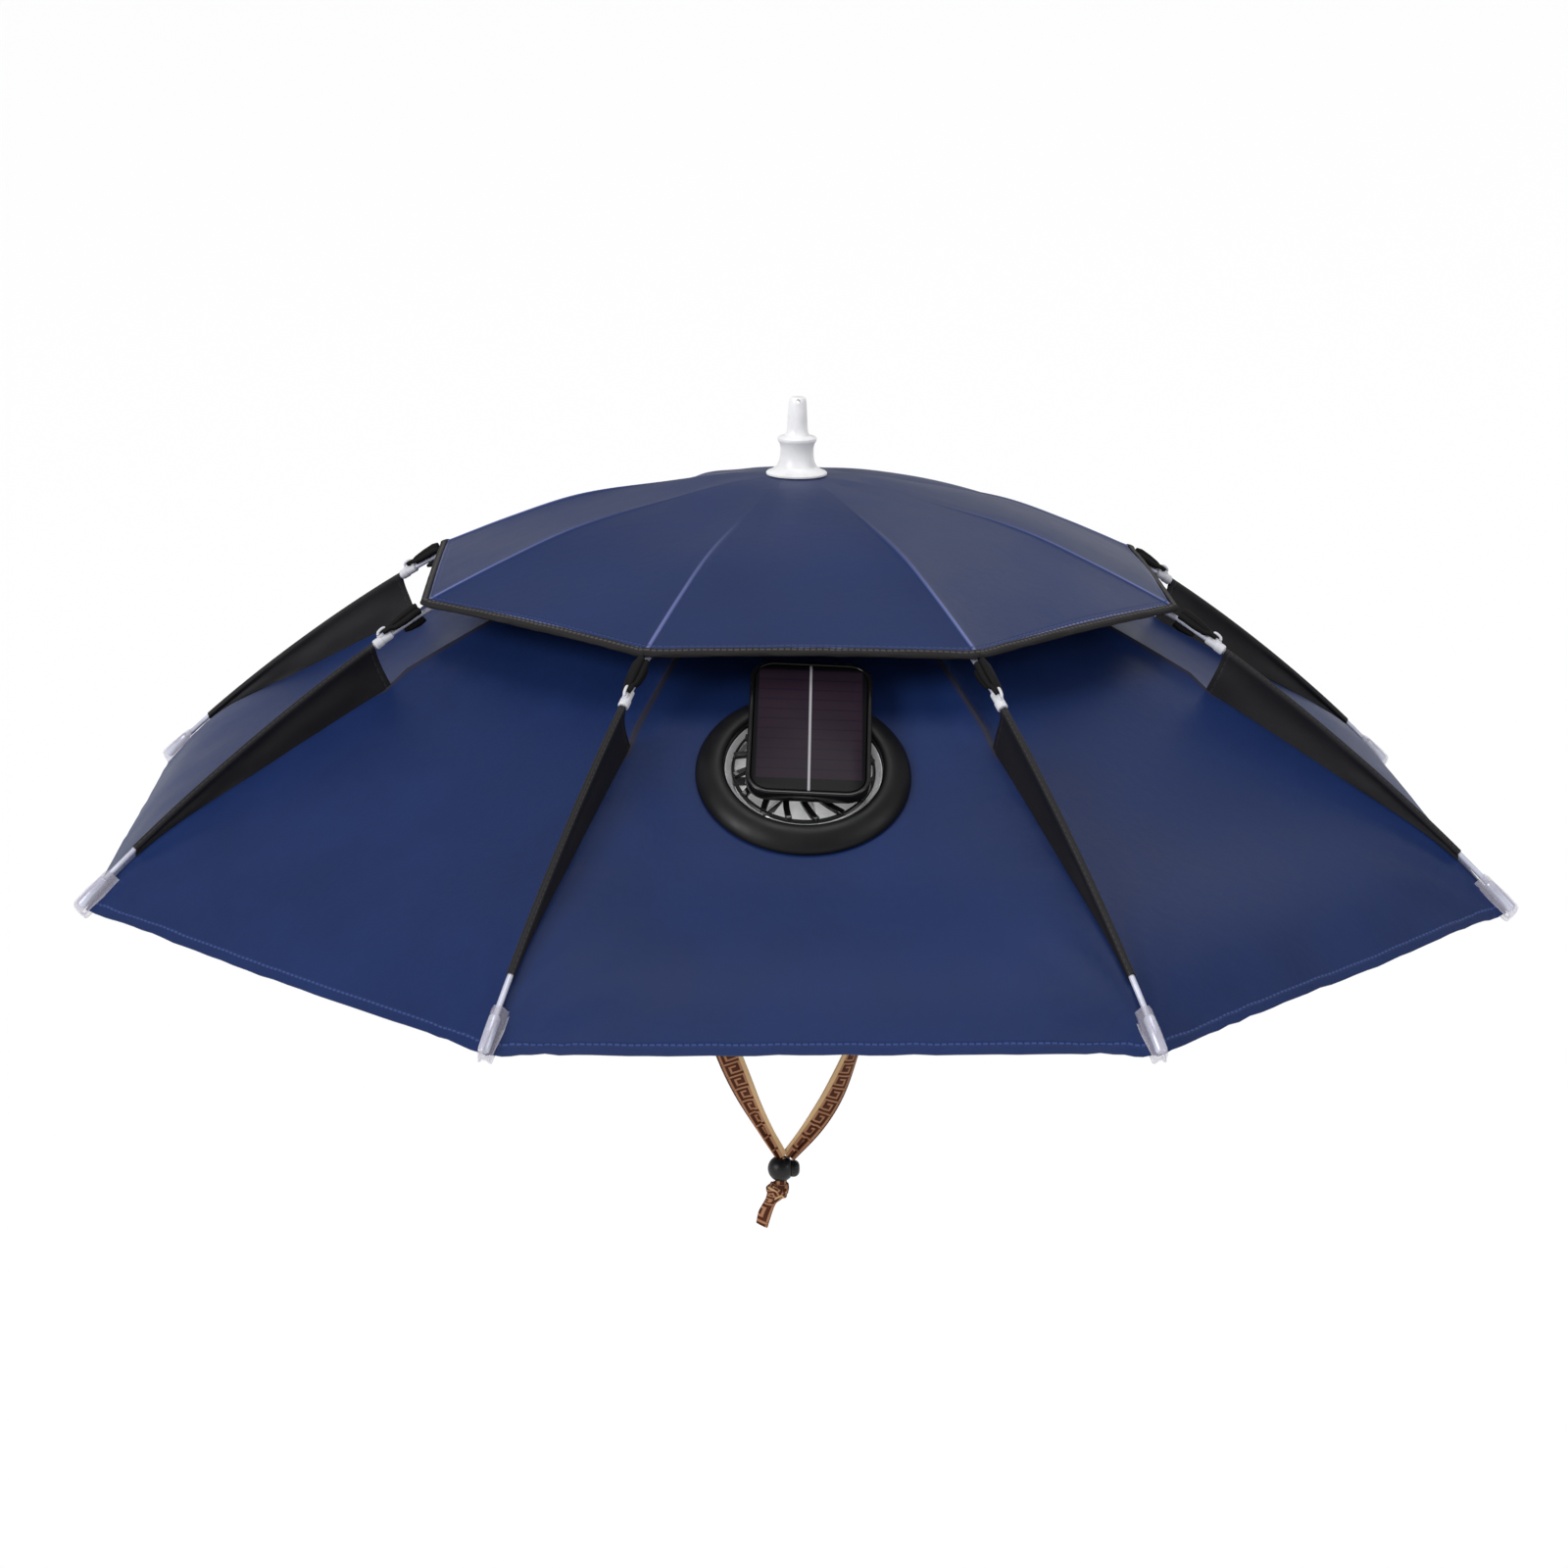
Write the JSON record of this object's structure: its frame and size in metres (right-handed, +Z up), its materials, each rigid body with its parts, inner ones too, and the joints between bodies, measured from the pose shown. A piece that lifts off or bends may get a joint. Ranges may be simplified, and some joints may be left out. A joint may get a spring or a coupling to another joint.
{
  "type": "umbrella hat",
  "caption": "Two-tier umbrella hat with a small solar fan in the front panel, a headband, and a patterned chin strap with a cord lock.",
  "frame": {"origin": "on the hat's axis, half-way up the headband: where a head holds the hat", "axes": "+Z up the hat's axis to the finial, -Y to the front with the fan, +X to the right of a front view"},
  "size_m": [0.7228, 0.7228, 0.4665],
  "materials": {
    "canopy_cloth": "coated navy cloth, soft sheen",
    "binding_tape": "matt woven black tape",
    "elastic": "matt black elastic",
    "rib_metal": "satin pale grey",
    "clip_plastic": "satin pale grey",
    "clear_pocket": "clear soft plastic",
    "white_plastic": "satin white",
    "black_gloss": "glossy black",
    "black_plastic": "fine matt black",
    "blade_plastic": "satin pale grey",
    "cell_face": "glossy dark violet cell under clear resin",
    "strap_ribbon": "woven beige and brown ribbon"
  },
  "bodies": {
    "hat": {"lower_canopy": "canopy_cloth", "top_canopy": "canopy_cloth", "top_binding": "binding_tape", "hub": "black_plastic", "finial": "white_plastic", "rib_1": "rib_metal", "fin_1": "binding_tape", "rib_clip_1": "clip_plastic", "corner_loop_1": "elastic", "corner_pocket_1": "clear_pocket", "rib_2": "rib_metal", "fin_2": "binding_tape", "rib_clip_2": "clip_plastic", "corner_loop_2": "elastic", "corner_pocket_2": "clear_pocket", "rib_3": "rib_metal", "fin_3": "binding_tape", "rib_clip_3": "clip_plastic", "corner_loop_3": "elastic", "corner_pocket_3": "clear_pocket", "rib_4": "rib_metal", "fin_4": "binding_tape", "rib_clip_4": "clip_plastic", "corner_loop_4": "elastic", "corner_pocket_4": "clear_pocket", "rib_5": "rib_metal", "fin_5": "binding_tape", "rib_clip_5": "clip_plastic", "corner_loop_5": "elastic", "corner_pocket_5": "clear_pocket", "rib_6": "rib_metal", "fin_6": "binding_tape", "rib_clip_6": "clip_plastic", "corner_loop_6": "elastic", "corner_pocket_6": "clear_pocket", "rib_7": "rib_metal", "fin_7": "binding_tape", "rib_clip_7": "clip_plastic", "corner_loop_7": "elastic", "corner_pocket_7": "clear_pocket", "rib_8": "rib_metal", "fin_8": "binding_tape", "rib_clip_8": "clip_plastic", "corner_loop_8": "elastic", "corner_pocket_8": "clear_pocket", "fan_flange": "black_gloss", "fan_nut": "black_plastic", "fan_guard": "black_gloss", "fan_motor": "black_plastic", "solar_panel": "black_gloss", "solar_cell": "cell_face", "headband": "binding_tape", "head_frame": "black_plastic", "chin_strap": "strap_ribbon", "cord_lock": "black_plastic"},
    "rotor": {"fan_rotor": "blade_plastic"},
    "button": {"lock_button": "black_plastic"}
  },
  "joints": [
    {"name": "fan_spin", "type": "hinge", "parent": "hat", "child": "rotor", "pos_m": [-0.0044, -0.21822, 0.02743], "axis": [0, -0.5325, 0.8464], "continuous": true},
    {"name": "lock_press", "type": "slide", "parent": "hat", "child": "button", "axis": [-1, 0, 0], "range_m": [0, 0.0016], "stiffness_N_per_m": 400}
  ]
}
